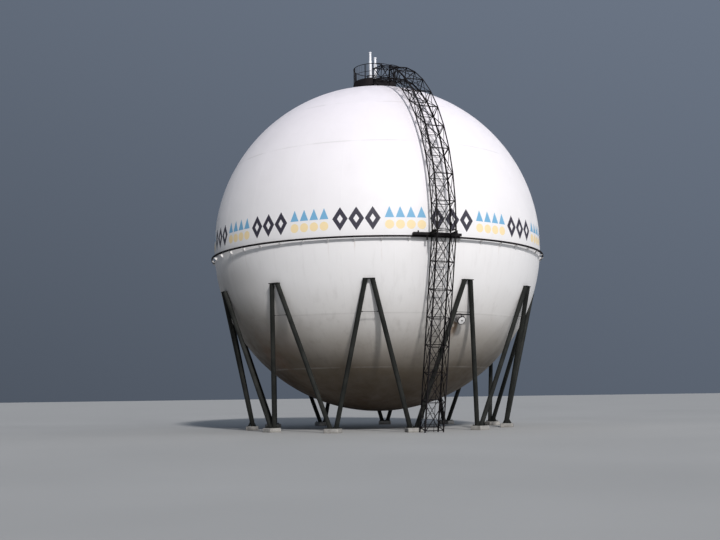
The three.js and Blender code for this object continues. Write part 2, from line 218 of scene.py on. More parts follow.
def polar(azimuth, radius, height):
    """A point about the tank's axis; azimuth 0 faces the front and 90 the right."""
    angle = radians(azimuth)
    return Vector((radius * sin(angle), CENTRE.y - radius * cos(angle), height))


def sideways(azimuth):
    """The level direction to the right, seen from that azimuth."""
    angle = radians(azimuth)
    return Vector((cos(angle), sin(angle), 0.0))


def local(azimuth, across, radius, height):
    return polar(azimuth, radius, height) + sideways(azimuth) * across


def meridian(elevation, radius=RADIUS):
    """Distance from the axis, and height, at that elevation of a sphere."""
    angle = radians(elevation)
    return radius * cos(angle), CENTRE.z + radius * sin(angle)


def on_sphere(azimuth, elevation):
    return polar(azimuth, *meridian(elevation))


def evenly(start, end, steps):
    """Equal steps from the start to the end, with both ends."""
    return [start + (end - start) * step / steps for step in range(steps + 1)]


def square_to(along, side):
    """The direction at right angles to along that is nearest to side."""
    return (side - along * side.dot(along)).normalized()


class Shape:
    """Points and faces of a piece while it is put together."""

    def __init__(self):
        self.points = []
        self.faces = []

    def add(self, points, faces):
        first = len(self.points)
        self.points.extend(points)
        self.faces.extend(tuple(first + index for index in face) for face in faces)


def loft(shape, rows, closed=False):
    """Skins rows of equally many points, and caps the first and last unless closed."""
    count = len(rows[0])
    faces = []
    spans = len(rows) if closed else len(rows) - 1
    for span in range(spans):
        here = span * count
        there = ((span + 1) % len(rows)) * count
        for side in range(count):
            after = (side + 1) % count
            faces.append((here + side, here + after, there + after, there + side))
    if not closed:
        faces.append(tuple(reversed(range(count))))
        faces.append(tuple(range(spans * count, (spans + 1) * count)))
    shape.add([point for row in rows for point in row], faces)


def sweep(shape, frames, profile, closed=False):
    """Carries a profile of (u, v) points through frames of (origin, u axis, v axis)."""
    rows = [[origin + u_axis * u + v_axis * v for u, v in profile] for origin, u_axis, v_axis in frames]
    loft(shape, rows, closed)


def corners(low, high, base, top):
    """The four points of a rectangle from low to high along u and from base to top along v."""
    return [(low, base), (high, base), (high, top), (low, top)]


def rectangle(width, depth):
    return corners(-width / 2, width / 2, -depth / 2, depth / 2)


def circle(radius, sides):
    turns = [2 * pi * side / sides for side in range(sides)]
    return [(radius * cos(turn), radius * sin(turn)) for turn in turns]


def angle_section(size, wall, u_side, v_side):
    """An L of two flanges whose heel points to the given sides of u and v."""
    half = size / 2
    thin = half - wall
    outline = [(half, half), (-half, half), (-half, thin), (thin, thin), (thin, -half), (half, -half)]
    return [(u_side * u, v_side * v) for u, v in outline]


def channel_section(tip, back, low, high, wall):
    """A U of (radius, height) points with its web at the back and two flanges out to the tip."""
    web = back + copysign(wall, tip - back)
    outside = [(tip, low), (back, low), (back, high), (tip, high)]
    return outside + [(tip, high - wall), (web, high - wall), (web, low + wall), (tip, low + wall)]


def bar(shape, start, end, profile, side):
    """A straight bar whose u axis lies as near as it can to the side direction."""
    along = (end - start).normalized()
    across = square_to(along, side)
    third = along.cross(across)
    sweep(shape, [(start, across, third), (end, across, third)], profile)


def pipe(shape, path, radius, sides):
    """A round bar along a path of points."""
    frames = []
    across = (path[1] - path[0]).orthogonal()
    for index, point in enumerate(path):
        before = path[max(index - 1, 0)]
        after = path[min(index + 1, len(path) - 1)]
        along = (after - before).normalized()
        across = square_to(along, across)
        frames.append((point, across, along.cross(across)))
    sweep(shape, frames, circle(radius, sides))


def revolve(shape, profile, closed=True):
    """Turns (radius, height) points about the tank's axis. A point on the axis becomes a pole."""
    rows = []
    points = []
    for radius, height in profile:
        if radius < 1e-6:
            rows.append([len(points)] * SHELL_STEPS)
            points.append(polar(0.0, 0.0, height))
        else:
            rows.append(list(range(len(points), len(points) + SHELL_STEPS)))
            points.extend(polar(azimuth, radius, height) for azimuth in evenly(0.0, 360.0, SHELL_STEPS)[:-1])
    faces = []
    later = rows[1:] + rows[:1] if closed else rows[1:]
    for low, high in zip(rows, later):
        for step in range(SHELL_STEPS):
            after = (step + 1) % SHELL_STEPS
            face = tuple(dict.fromkeys((low[step], low[after], high[after], high[step])))
            if len(face) > 2:
                faces.append(face)
    shape.add(points, faces)


def part_ring(shape, profile, start, end, steps):
    """A profile of (radius, height) points carried round the axis from one azimuth to another."""
    loft(shape, [[polar(azimuth, *point) for point in profile] for azimuth in evenly(start, end, steps)])


def box(shape, azimuth, low, high):
    """A block turned to that azimuth, between two corners (across, radius, height)."""
    profile = corners(low[0], high[0], low[1], high[1])
    loft(shape, [[local(azimuth, *point, height) for point in profile] for height in (low[2], high[2])])


def placed(name, data):
    made = bpy.data.objects.new(name, data)
    bpy.context.scene.collection.objects.link(made)
    return made


def piece(name, shape, material, nodes=(), sharp=35.0):
    """Makes the object, gives it its finish and lets it ride with the tank."""
    mesh = bpy.data.meshes.new(name)
    mesh.from_pydata(shape.points, [], shape.faces)
    work = bmesh.new()
    work.from_mesh(mesh)
    bmesh.ops.recalc_face_normals(work, faces=work.faces)
    work.to_mesh(mesh)
    work.free()
    mesh.shade_smooth()
    mesh.set_sharp_from_angle(angle=radians(sharp))
    mesh.materials.append(material)
    made = placed(name, mesh)
    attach(made, "root")
    if nodes:
        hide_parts(*nodes)


class Nodes:
    """Short ways to add nodes to one material or world."""

    def __init__(self, block, shader):
        block.use_nodes = True
        self.block = block
        self.tree = block.node_tree
        self.shader = self.tree.nodes[shader]
        self.where = self.add("ShaderNodeTexCoord").outputs

    def feed(self, socket, value):
        if isinstance(value, bpy.types.NodeSocket):
            self.tree.links.new(value, socket)
        else:
            socket.default_value = value

    def add(self, kind, *values, **settings):
        """A node whose first sockets are fed with the values."""
        node = self.tree.nodes.new(kind)
        for name, value in settings.items():
            setattr(node, name, value)
        for socket, value in zip(node.inputs, values):
            self.feed(socket, value)
        return node

    def fill(self, node, **values):
        for name, value in values.items():
            self.feed(node.inputs[name.replace("_", " ")], value)

    def math(self, operation, first, second=0.0):
        return self.add("ShaderNodeMath", first, second, operation=operation).outputs[0]

    def plus(self, first, second):
        return self.math("ADD", first, second)

    def minus(self, first, second):
        return self.math("SUBTRACT", first, second)

    def over(self, first, second):
        return self.math("DIVIDE", first, second)

    def below(self, value, limit):
        return self.math("LESS_THAN", value, limit)

    def away(self, value, middle):
        return self.math("ABSOLUTE", self.minus(value, middle))

    def product(self, *values):
        total = values[0]
        for value in values[1:]:
            total = self.math("MULTIPLY", total, value)
        return total

    def between(self, value, low, high):
        return self.product(self.math("GREATER_THAN", value, low), self.below(value, high))

    def spread(self, value, low, high, start=0.0, end=1.0, kind="SMOOTHSTEP"):
        """A step from start at the low value to end at the high one."""
        values = (value, low, high, start, end)
        return self.add("ShaderNodeMapRange", *values, interpolation_type=kind).outputs[0]

    def fade(self, value, low, high):
        return self.spread(value, low, high, 1.0, 0.0)

    def stain(self, colour, tone, *shares, blend="MIX"):
        """Lays a tone over a colour by the product of the shares."""
        node = self.add("ShaderNodeMix", self.product(*shares), data_type="RGBA", blend_type=blend)
        for socket, value in ((node.inputs[6], colour), (node.inputs[7], tone)):
            self.feed(socket, value if isinstance(value, bpy.types.NodeSocket) else (*value, 1.0))
        return node.outputs[2]

    def ramp(self, factor, stops):
        node = self.add("ShaderNodeValToRGB", factor)
        marks = node.color_ramp.elements
        while len(marks) < len(stops):
            marks.new(0.5)
        for mark, (position, colour) in zip(marks, stops):
            mark.position = position
            mark.color = (*colour, 1.0)
        return node.outputs[0]

    def place(self):
        """The x, y and z of a point on the object."""
        return self.add("ShaderNodeSeparateXYZ", self.where["Object"]).outputs

    def noise(self, scale, detail=4.0, roughness=0.55):
        """Noise at one scale, or at a scale for each axis."""
        place = self.where["Object"]
        if isinstance(scale, tuple):
            stretch = self.add("ShaderNodeMapping", place)
            self.fill(stretch, Scale=scale)
            place, scale = stretch.outputs[0], 1.0
        node = self.add("ShaderNodeTexNoise")
        self.fill(node, Vector=place, Scale=scale, Detail=detail, Roughness=roughness)
        return node.outputs["Fac"]

    def bump(self, height, strength, distance, before=None):
        node = self.add("ShaderNodeBump")
        self.fill(node, Strength=strength, Distance=distance, Height=height)
        if before is not None:
            self.fill(node, Normal=before)
        return node.outputs[0]

    def finish(self, colour, roughness, normal, specular=0.5):
        self.fill(self.shader, Base_Color=colour, Roughness=roughness, Normal=normal)
        self.fill(self.shader, Specular_IOR_Level=specular)
        return self.block


def new_material(name):
    return Nodes(bpy.data.materials.new(name), "Principled BSDF")


# Shell tones from the bottom of the sphere to its top: soiled grey and brown low down, darkened further
# there as painted shade of the underside, and a pink painted highlight at the top
SHELL_SOIL_AND_SHADE_TONES = [
    (0.00, (0.036, 0.019, 0.008)),
    (0.07, (0.060, 0.038, 0.018)),
    (0.13, (0.125, 0.098, 0.068)),
    (0.20, (0.380, 0.350, 0.312)),
    (0.27, (0.680, 0.660, 0.635)),
    (0.35, (0.775, 0.762, 0.750)),
    (0.46, (0.800, 0.785, 0.780)),
    (1.00, PINK_HIGHLIGHT_WHITE),
]

# How far the edge of the dark lower tones shifts across the tank, as painted shade on the left and painted
# light from the middle rightwards: x from, x to, shift from, shift to
SHADE_AND_LIGHT_SHIFTS = ((-9.0, -2.5, -0.085, 0.006), (-2.5, 1.5, 0.0, 0.010), (3.5, 7.5, 0.0, -0.016))


def weathered_and_shaded_shell(nodes, colour, x, z, rise):
    # Rain streaks run down from the crown and the ring, stronger low down
    streaks = nodes.spread(nodes.noise((2.6, 2.6, 0.10), 6.0, 0.6), 0.5, 0.78)
    low = nodes.spread(rise, 0.02, 0.62, 1.0, 0.12)
    colour = nodes.stain(colour, STREAK_TONE, streaks, low, 0.22, blend="MULTIPLY")
    patches = nodes.noise(0.55, 6.0, 0.6)
    colour = nodes.stain(colour, PATCH_TONE, nodes.spread(patches, 0.4, 0.75), 0.06)

    # Faint dirt along the level seams
    for seam in LEVEL_SEAMS:
        near = nodes.fade(nodes.away(z, meridian(seam)[1]), 0.015, 0.06)
        colour = nodes.stain(colour, SEAM_TONE, near, nodes.spread(patches, 0.35, 0.6), 0.28)

    # Warm rust in patches on the lower left, and painted shade that darkens the left side below the ring
    warm = nodes.spread(nodes.noise((0.5, 0.5, 0.3), 5.0, 0.6), 0.45, 0.6)
    low_left = (nodes.fade(x, -7.0, -3.0), nodes.fade(rise, 0.12, 0.30))
    colour = nodes.stain(colour, WARM_RUST, warm, *low_left, 0.45)
    left = (nodes.fade(x, -9.5, -5.0), nodes.fade(z, 9.0, 11.2))
    return nodes.stain(colour, LEFT_SHADE_TONE, *left, 0.8, blend="MULTIPLY")


def rusted_shell(nodes, colour, azimuth, z):
    # Rust below each bracket of the ring rail
    turn = nodes.math("FRACT", nodes.over(nodes.plus(azimuth, 360.0), 360.0 / BRACKETS))
    narrow = nodes.fade(nodes.away(turn, 0.5), 0.0, 0.045)
    hanging = nodes.product(nodes.spread(z, 9.2, 10.45), nodes.below(z, 10.62))
    speck = nodes.spread(nodes.noise((3.0, 3.0, 0.35), 3.0), 0.42, 0.68)
    colour = nodes.stain(colour, BRACKET_RUST, narrow, hanging, speck, 0.42)

    # Rust stain that runs down from the manway
    drip = meridian(MANWAY_ELEVATION - 2.0)[1]
    return nodes.stain(
        colour,
        MANWAY_RUST,
        nodes.fade(nodes.away(azimuth, MANWAY_AZIMUTH - 0.5), 0.5, 2.0),
        nodes.spread(z, drip - 1.05, drip - 0.2),
        nodes.below(z, drip + 0.25),
        nodes.spread(nodes.noise((5.0, 5.0, 0.8)), 0.2, 0.5),
        0.9,
    )


def shell_paint(name, banded=False):
    nodes = new_material(name)
    x, y, z = nodes.place()
    rise = nodes.over(nodes.minus(z, CENTRE.z - RADIUS), 2 * RADIUS)
    azimuth = nodes.product(nodes.math("ARCTAN2", x, nodes.minus(CENTRE.y, y)), 180.0 / pi)
    # Tones by height with soil and painted shade low down, shifted darker on the left and lighter from the
    # middle as painted shade and painted light
    cloud = nodes.noise((0.22, 0.22, 0.3), 5.0)
    level = nodes.plus(rise, nodes.product(nodes.minus(cloud, 0.5), 0.05))
    for shift in SHADE_AND_LIGHT_SHIFTS:
        level = nodes.plus(level, nodes.spread(x, *shift))
    colour = weathered_and_shaded_shell(nodes, nodes.ramp(level, SHELL_SOIL_AND_SHADE_TONES), x, z, rise)
    colour = rusted_shell(nodes, colour, azimuth, z)
    if banded:
        colour = painted_band(nodes, colour, azimuth, z)
    waves = nodes.bump(nodes.noise(0.7, 3.0), 0.25, 0.03)
    normal = nodes.bump(nodes.noise(55.0, 3.0), 0.12, 0.002, waves)
    roughness = nodes.spread(nodes.noise(1.6, 5.0), 0.3, 0.75, 0.42, 0.62)
    return nodes.finish(colour, roughness, normal, specular=0.35)


# Painted frieze of plain shapes just above the ring, in modules that repeat round the sphere
BAND_LOW = 11.22
BAND_HIGH = 12.62
BAND_MODULES = 12
BAND_TURN = 371.0
DIAMOND_CELLS = 3
DIAMOND_SPAN = 0.50
DIAMOND_HOLE = 0.36
DIAMOND_EDGE = 0.96
FIGURE_CELLS = 4
FIGURE_SPAN = 0.44
TRIANGLE_LOW = 0.52
TRIANGLE_TOP = 0.98
TRIANGLE_SLOPE = 0.95
DOT_LEVEL = 0.24
DOT_RADIUS = 0.42


def painted_band(nodes, colour, azimuth, z):
    """Hollow diamonds in slate between rows of blue triangles and yellow dots."""
    level = nodes.over(nodes.minus(z, BAND_LOW), BAND_HIGH - BAND_LOW)
    inside = nodes.between(level, 0.0, 1.0)
    module = nodes.math("FRACT", nodes.over(nodes.plus(azimuth, BAND_TURN), 360.0 / BAND_MODULES))

    # Slate diamonds with a hollow middle
    cell = nodes.math("FRACT", nodes.product(module, DIAMOND_CELLS / DIAMOND_SPAN))
    sides, heights = (nodes.product(nodes.away(value, 0.5), 2.0) for value in (cell, level))
    diamond = nodes.between(nodes.plus(sides, heights), DIAMOND_HOLE, DIAMOND_EDGE)
    colour = nodes.stain(colour, SLATE, diamond, nodes.below(module, DIAMOND_SPAN), inside)

    # Blue triangles above, yellow dots below
    start = DIAMOND_SPAN + (1.0 - DIAMOND_SPAN - FIGURE_SPAN) / 2
    along = nodes.product(nodes.minus(module, start), FIGURE_CELLS / FIGURE_SPAN)
    within = nodes.between(along, 0.0, float(FIGURE_CELLS))
    aside = nodes.away(nodes.math("FRACT", along), 0.5)
    slope = nodes.product(nodes.minus(TRIANGLE_TOP, level), TRIANGLE_SLOPE)
    triangle = (nodes.below(aside, slope), nodes.between(level, TRIANGLE_LOW, TRIANGLE_TOP), within)
    colour = nodes.stain(colour, BAND_BLUE, *triangle)
    cell_width = 2 * pi * RADIUS / BAND_MODULES * FIGURE_SPAN / FIGURE_CELLS
    drop = nodes.product(nodes.minus(level, DOT_LEVEL), (BAND_HIGH - BAND_LOW) / cell_width)
    squares = [nodes.product(value, value) for value in (aside, drop)]
    distance = nodes.math("SQRT", nodes.plus(*squares))
    return nodes.stain(colour, BAND_YELLOW, nodes.below(distance, DOT_RADIUS), within, inside)


def dark_paint(name, rust, dust, fresh=DARK_PAINT, worn=DARK_WORN):
    """Charcoal paint, dusty and worn, with rust that breaks through."""
    nodes = new_material(name)
    broad = nodes.noise(0.9, 5.0, 0.6)
    fine = nodes.noise(14.0, 5.0, 0.65)
    runs = nodes.noise((9.0, 9.0, 0.7))
    colour = nodes.stain(fresh, worn, nodes.spread(broad, 0.35, 0.7), dust)
    colour = nodes.stain(colour, DARK_RUNS, nodes.spread(runs, 0.52, 0.8), 0.25)
    colour = nodes.stain(colour, RUST, nodes.spread(fine, 0.56, 0.7), nodes.spread(broad, 0.5, 0.66), rust)
    roughness = nodes.spread(fine, 0.3, 0.7, 0.6, 0.85)
    return nodes.finish(colour, roughness, nodes.bump(fine, 0.25, 0.003), specular=0.12)


def pale_paint(name, base, soil):
    """Paint on small fittings, soiled in patches: white, or grey where it is painted shade."""
    nodes = new_material(name)
    broad = nodes.noise(2.2, 5.0, 0.6)
    runs = nodes.noise((14.0, 14.0, 1.2))
    colour = nodes.stain(base, soil, nodes.spread(runs, 0.45, 0.75), 0.4)
    colour = nodes.stain(colour, FITTING_RUST, nodes.spread(broad, 0.58, 0.72), 0.3)
    normal = nodes.bump(nodes.noise(60.0, 3.0), 0.15, 0.002)
    return nodes.finish(colour, nodes.spread(broad, 0.3, 0.7, 0.4, 0.6), normal)


CONCRETE_TONES = [(0.3, (0.20, 0.19, 0.175)), (0.52, (0.30, 0.29, 0.27)), (0.75, (0.38, 0.37, 0.34))]
DAMP_TONE = (0.10, 0.09, 0.08)
PORE_TONE = (0.12, 0.115, 0.105)
FLOOR_TONES = [(0.3, (0.36, 0.36, 0.35)), (0.7, (0.39, 0.39, 0.38))]


def concrete(name):
    nodes = new_material(name)
    broad = nodes.noise(2.5, 6.0, 0.65)
    pores = nodes.noise(38.0, 4.0, 0.7)
    damp = nodes.spread(nodes.place()[2], 0.0, 0.12, 0.45, 0.0)
    colour = nodes.stain(nodes.ramp(broad, CONCRETE_TONES), DAMP_TONE, damp)
    colour = nodes.stain(colour, PORE_TONE, nodes.spread(pores, 0.6, 0.72), 0.5)
    normal = nodes.bump(pores, 0.5, 0.004, nodes.bump(broad, 0.3, 0.01))
    return nodes.finish(colour, nodes.spread(broad, 0.2, 0.8, 0.8, 0.98), normal, specular=0.3)


def floor_paint(name):
    nodes = new_material(name)
    cloud = nodes.noise(0.08)
    roughness = nodes.spread(cloud, 0.2, 0.8, 0.75, 0.9)
    return nodes.finish(nodes.ramp(cloud, FLOOR_TONES), roughness, nodes.bump(cloud, 0.05, 0.01))


shell_coat = shell_paint("shell_paint")
band_coat = shell_paint("shell_paint_banded", banded=True)
leg_coat = dark_paint("leg_paint", rust=0.2, dust=0.45, fresh=LEG_PAINT, worn=LEG_WORN)
lattice_coat = dark_paint("lattice_paint", rust=0.3, dust=0.25)
rail_coat = dark_paint("rail_paint", rust=0.3, dust=0.35)
bracket_coat = pale_paint("bracket_paint", (0.74, 0.73, 0.72), (0.42, 0.38, 0.34))
# The manway neck is white like the brackets; its grey here is painted shade, as the neck stands in shade
neck_shade_coat = pale_paint("neck_painted_shade", (0.30, 0.29, 0.285), (0.17, 0.15, 0.13))
vent_coat = pale_paint("vent_paint", (0.82, 0.83, 0.86), (0.66, 0.64, 0.66))
concrete_coat = concrete("footing_concrete_mix")


def arc(radius, low, high, step):
    count = max(2, round((high - low) / step))
    return [meridian(elevation, radius) for elevation in evenly(low, high, count)]


def shell_zone(node, low, high, material):
    """A hollow zone of the sphere between two elevations; -90 and 90 are its poles."""
    trim = degrees(TOUCH / 2 / RADIUS)
    bottom = low if low == -90.0 else low + trim
    top = high if high == 90.0 else high - trim
    outer = arc(RADIUS, bottom, top, 1.0)
    inner = arc(RADIUS - PLATE, bottom, top, 3.0)
    shape = Shape()
    if high == 90.0:
        revolve(shape, inner[::-1] + outer, closed=False)
    else:
        revolve(shape, outer + inner[::-1], closed=low > -90.0)
    piece(node + "_plates", shape, material, (node,), sharp=40.0)


shell_zone("bottom_cap", -90.0, -CAP_SEAM, shell_coat)
shell_zone("lower_belt", -CAP_SEAM, -BELT_SEAM, shell_coat)
shell_zone("equator_belt", -BELT_SEAM, BELT_SEAM, band_coat)
shell_zone("upper_belt", BELT_SEAM, CAP_SEAM, shell_coat)
shell_zone("crown_cap", CAP_SEAM, 90.0, shell_coat)


# Weld beads on the seams between the plates
WELD_PROFILE = [
    (-WELD_HALF, -WELD_SINK), (-WELD_HALF / 2, WELD_HEIGHT),
    (WELD_HALF / 2, WELD_HEIGHT), (WELD_HALF, -WELD_SINK),
]
welds = Shape()


def level_seam(elevation):
    profile = [meridian(elevation + degrees(aside / RADIUS), RADIUS + rise) for aside, rise in WELD_PROFILE]
    revolve(welds, profile)


def bead(points, side):
    """A weld bead along points of the shell."""
    outward = [(point - CENTRE).normalized() for point in points]
    sweep(welds, [(point, square_to(out, side), out) for point, out in zip(points, outward)], WELD_PROFILE)


def upright_seam(azimuth, low, high):
    elevations = evenly(low, high, round((high - low) / 2.0))
    bead([on_sphere(azimuth, elevation) for elevation in elevations], sideways(azimuth))


def cap_seam(offset, sign):
    """A seam across the top (1) or bottom (-1) cap, in a plane beside the axis."""
    reach = sqrt(RADIUS ** 2 - offset ** 2)
    limit = acos(RADIUS * sin(radians(CAP_SEAM)) / reach)
    turns = evenly(-limit, limit, 40)
    arch = [CENTRE + Vector((offset, reach * sin(turn), sign * reach * cos(turn))) for turn in turns]
    bead(arch, Vector((1.0, 0.0, 0.0)))


for seam in LEVEL_SEAMS:
    level_seam(seam)
turn = 360.0 / BELT_PETALS
for petal in range(BELT_PETALS):
    upright_seam(turn * (petal + 0.5), -BELT_SEAM, BELT_SEAM)
    upright_seam(turn * petal, BELT_SEAM, CAP_SEAM)
    upright_seam(turn * petal, -CAP_SEAM, -BELT_SEAM)
for offset in (-CAP_SEAM_OFFSET, CAP_SEAM_OFFSET):
    cap_seam(offset, 1)
    cap_seam(offset, -1)
piece("weld_seams", welds, band_coat, sharp=60.0)


# Legs
TANGENT_RADIUS = LEG_PLANE * cos(LEG_LEAN)
TANGENT_HEIGHT = CENTRE.z - LEG_PLANE * sin(LEG_LEAN)
PLATE_TOP = FOOTING[2] + TOUCH + BASE_PLATE[2]
DOWN_TO_PLATE = (TANGENT_HEIGHT - PLATE_TOP) / cos(LEG_LEAN)
FOOT_RADIUS = TANGENT_RADIUS - DOWN_TO_PLATE * sin(LEG_LEAN)
FOOT_ACROSS = FOOT_RADIUS * tan(HALF_TURN) - FOOT_SPACING / 2 / cos(HALF_TURN)


def leg_point(azimuth, across, down):
    """A point in the leaning plane of a pair, down from where the plane is nearest the sphere."""
    radius = TANGENT_RADIUS - down * sin(LEG_LEAN)
    return local(azimuth, across, radius, TANGENT_HEIGHT - down * cos(LEG_LEAN))


def leg_across(down):
    return LEG_SPREAD + (FOOT_ACROSS - LEG_SPREAD) * (down - LEG_TOP) / (DOWN_TO_PLATE - LEG_TOP)


def seated(point):
    """Keeps a leg's point off the shell."""
    away = point - CENTRE
    if away.length < RADIUS + TOUCH:
        point = CENTRE + away.normalized() * (RADIUS + TOUCH)
    return point


def leg_tube(shape, azimuth, side):
    """A tube that is cut level at both ends and flattened where it meets the shell."""
    top = leg_point(azimuth, side * LEG_SPREAD, LEG_TOP)
    foot = leg_point(azimuth, side * FOOT_ACROSS, DOWN_TO_PLATE)
    run = (foot - top).normalized()
    across = square_to(run, sideways(azimuth))
    third = run.cross(across)
    length = (foot - top).length
    levels = {0.0: top.z, length: foot.z}
    rows = []
    for mark in (*LEG_MARKS, length):
        centre = top + run * mark
        row = []
        for u, v in circle(LEG_RADIUS, LEG_SIDES):
            point = centre + across * u + third * v
            if mark in levels:
                point = point + run * ((levels[mark] - point.z) / run.z)
            row.append(seated(point))
        rows.append(row)
    loft(shape, rows)
    leg_cap(shape, azimuth, side, top.z)


def leg_cap(shape, azimuth, side, height):
    """Each leg's half of the flat plate that closes the pair's two tubes, cut to the shell."""
    outer = LEG_SPREAD + LEG_RADIUS + LEG_CAP_LIP
    front = TANGENT_RADIUS - LEG_TOP * sin(LEG_LEAN) + LEG_RADIUS + LEG_CAP_LIP
    rows = []
    for aside in evenly(TOUCH / 2, outer, LEG_CAP_STEPS):
        row = []
        for rise in (0.0, LEG_CAP):
            reach = sqrt((RADIUS + TOUCH) ** 2 - (CENTRE.z - height - rise) ** 2 - aside ** 2)
            row.append(local(azimuth, side * aside, reach, height + rise))
        row += [local(azimuth, side * aside, front, height + rise) for rise in (LEG_CAP, 0.0)]
        rows.append(row)
    loft(shape, rows)


def leg_foot(shape, azimuth, side):
    """Base plate, stiffeners and anchor bolts, square to the footing."""
    corner = azimuth + side * degrees(HALF_TURN)
    radius = FOOT_RADIUS / cos(HALF_TURN)
    across = -side * FOOT_SPACING / 2
    half_width = BASE_PLATE[0] / 2
    half_depth = BASE_PLATE[1] / 2
    near_corner = (across - half_width, radius - half_depth, FOOTING[2] + TOUCH)
    box(shape, corner, near_corner, (across + half_width, radius + half_depth, PLATE_TOP))
    for out in (-1, 1):
        for aside in (-1, 1):
            bolt_across = across + aside * (half_width - BOLT_INSET[0])
            bolt = local(corner, bolt_across, radius + out * (half_depth - BOLT_INSET[1]), PLATE_TOP)
            nut = bolt + UP * NUT_HEIGHT
            bar(shape, bolt, nut, circle(NUT_RADIUS, 6), sideways(corner))
            bar(shape, nut, bolt + UP * BOLT_HEIGHT, circle(NUT_RADIUS / 2, 12), sideways(corner))
        near = local(corner, across, radius + out * RIB_START, PLATE_TOP)
        far = local(corner, across, radius + out * (half_depth - RIB_INSET), PLATE_TOP)
        outline = [near, far, far + UP * RIB_LOW, near + UP * RIB_HIGH]
        thin = sideways(corner) * RIB_HALF
        loft(shape, [[point + thin * face for point in outline] for face in (-1, 1)])


for pair in range(PAIRS):
    for side, word in SIDES:
        leg = Shape()
        leg_tube(leg, PAIR_TURN * pair, side)
        leg_foot(leg, PAIR_TURN * pair, side)
        label = f"{pair + 1:02d}_{word}"
        piece(f"leg_tube_{label}", leg, leg_coat, (f"leg_{label}",))


# Tie rods between the two legs of each pair


def rod_ends(azimuth, down):
    """The ends of a level rod whose tips are sunk in the two tubes."""
    reach = leg_across(down) - ROD_GRIP
    return [leg_point(azimuth, side * reach, down) for side in (-1, 1)]


ties = Shape()
for pair in range(PAIRS):
    azimuth = PAIR_TURN * pair
    left, right = rod_ends(azimuth, TIE_DOWN)
    bar(ties, left, right, circle(TIE_ROD, 10), UP)
    for end, side in ((left, -1), (right, 1)):
        bar(ties, end, end - sideways(azimuth) * side * TIE_END, rectangle(0.06, 0.012), UP)
piece("leg_tie_rods", ties, rail_coat)


# Footings with chamfered edges
FOOTING_CENTRE = (TANGENT_RADIUS - (TANGENT_HEIGHT - FOOTING[2]) * tan(LEG_LEAN)) / cos(HALF_TURN)


def octagon(azimuth, inset, height):
    """The outline of a footing, set in from its full size, with its corners cut."""
    half_width = FOOTING[0] / 2 - inset
    half_depth = FOOTING[1] / 2 - inset
    outline = []
    for u, v in ((1, 1), (-1, 1), (-1, -1), (1, -1)):
        cut = [(u * half_width, v * (half_depth - CHAMFER)), (u * (half_width - CHAMFER), v * half_depth)]
        outline += cut[::u * v]
    return [local(azimuth, across, FOOTING_CENTRE + depth, height) for across, depth in outline]


for index in range(PAIRS):
    block = Shape()
    levels = ((0.0, 0.0), (0.0, FOOTING[2] - CHAMFER), (CHAMFER, FOOTING[2]))
    loft(block, [octagon(PAIR_TURN * (index + 0.5), inset, height) for inset, height in levels])
    name = f"footing_{index + 1:02d}"
    piece(name + "_block", block, concrete_coat, (name,), sharp=20.0)


# Ring rail, a channel that opens towards the shell, on painted brackets
ring_low = RING_HEIGHT - RING_HALF_DEPTH
ring_high = RING_HEIGHT + RING_HALF_DEPTH
ring_edges = (RING_RADIUS - RING_HALF_WIDTH, RING_RADIUS + RING_HALF_WIDTH)
rail = Shape()
revolve(rail, channel_section(*ring_edges, ring_low, ring_high, RING_WALL))
piece("ring_rail_channel", rail, rail_coat, ("ring_rail",))


def shell_reach(height):
    """How far from the axis a bracket starts at that height, a little inside the shell."""
    return sqrt(RADIUS ** 2 - (CENTRE.z - height) ** 2) - BRACKET_SINK


brackets = Shape()
bracket_top = ring_low - 0.001
nose_low = bracket_top - BRACKET_NOSE
bracket_low = ring_low - BRACKET_DROP
outline = [
    (shell_reach(bracket_top), bracket_top), (BRACKET_TIP, bracket_top), (BRACKET_TIP, nose_low),
    (shell_reach(bracket_low), bracket_low),
]
for index in range(BRACKETS):
    azimuth = 360.0 / BRACKETS * (index + 0.5)
    faces = (-BRACKET_HALF, BRACKET_HALF)
    loft(brackets, [[local(azimuth, across, *point) for point in outline] for across in faces])
    flange = [polar(azimuth, *point) for point in outline[2:]]
    bar(brackets, *flange, rectangle(0.07, 0.01), sideways(azimuth))
piece("ring_brackets", brackets, bracket_coat)


# Gantry stations: centre radius and height, and the direction across the depth as (radial, rise)
arch_start = degrees(asin((LANDING_TOP - CENTRE.z) / GANTRY_MIDDLE))
arch_end = degrees(acos((DECK_FRONT + 0.03) / (GANTRY_MIDDLE - HALF_DEPTH)))
slope_radius = GANTRY_MIDDLE * cos(radians(arch_start))
GANTRY_SIDE = sideways(GANTRY_AZIMUTH)


def arch_station(elevation):
    angle = radians(elevation)
    return *meridian(elevation, GANTRY_MIDDLE), (cos(angle), sin(angle))


def slope_at(height):
    return slope_radius - (LANDING_TOP - height) * tan(GANTRY_LEAN)


def slope_station(height):
    return slope_at(height), height, (cos(GANTRY_LEAN), -sin(GANTRY_LEAN))


def deck_station():
    """The arch cut by the upright plane at the front of the crown deck."""
    reach = DECK_FRONT + TOUCH
    low, high = (sqrt((GANTRY_MIDDLE + side * HALF_DEPTH) ** 2 - reach ** 2) for side in (-1, 1))
    return reach, CENTRE.z + (low + high) / 2, (0.0, (high - low) / (2 * HALF_DEPTH))


slope_end = LANDING_TOP - GANTRY_SPLIT_INSET
slope_stations = [slope_station(height) for height in evenly(GANTRY_FOOT, slope_end, LOWER_BAYS)]
arch_low = arch_start + ARCH_INSET
arch_stations = [arch_station(elevation) for elevation in evenly(arch_low, arch_end, ARCH_BAYS)]

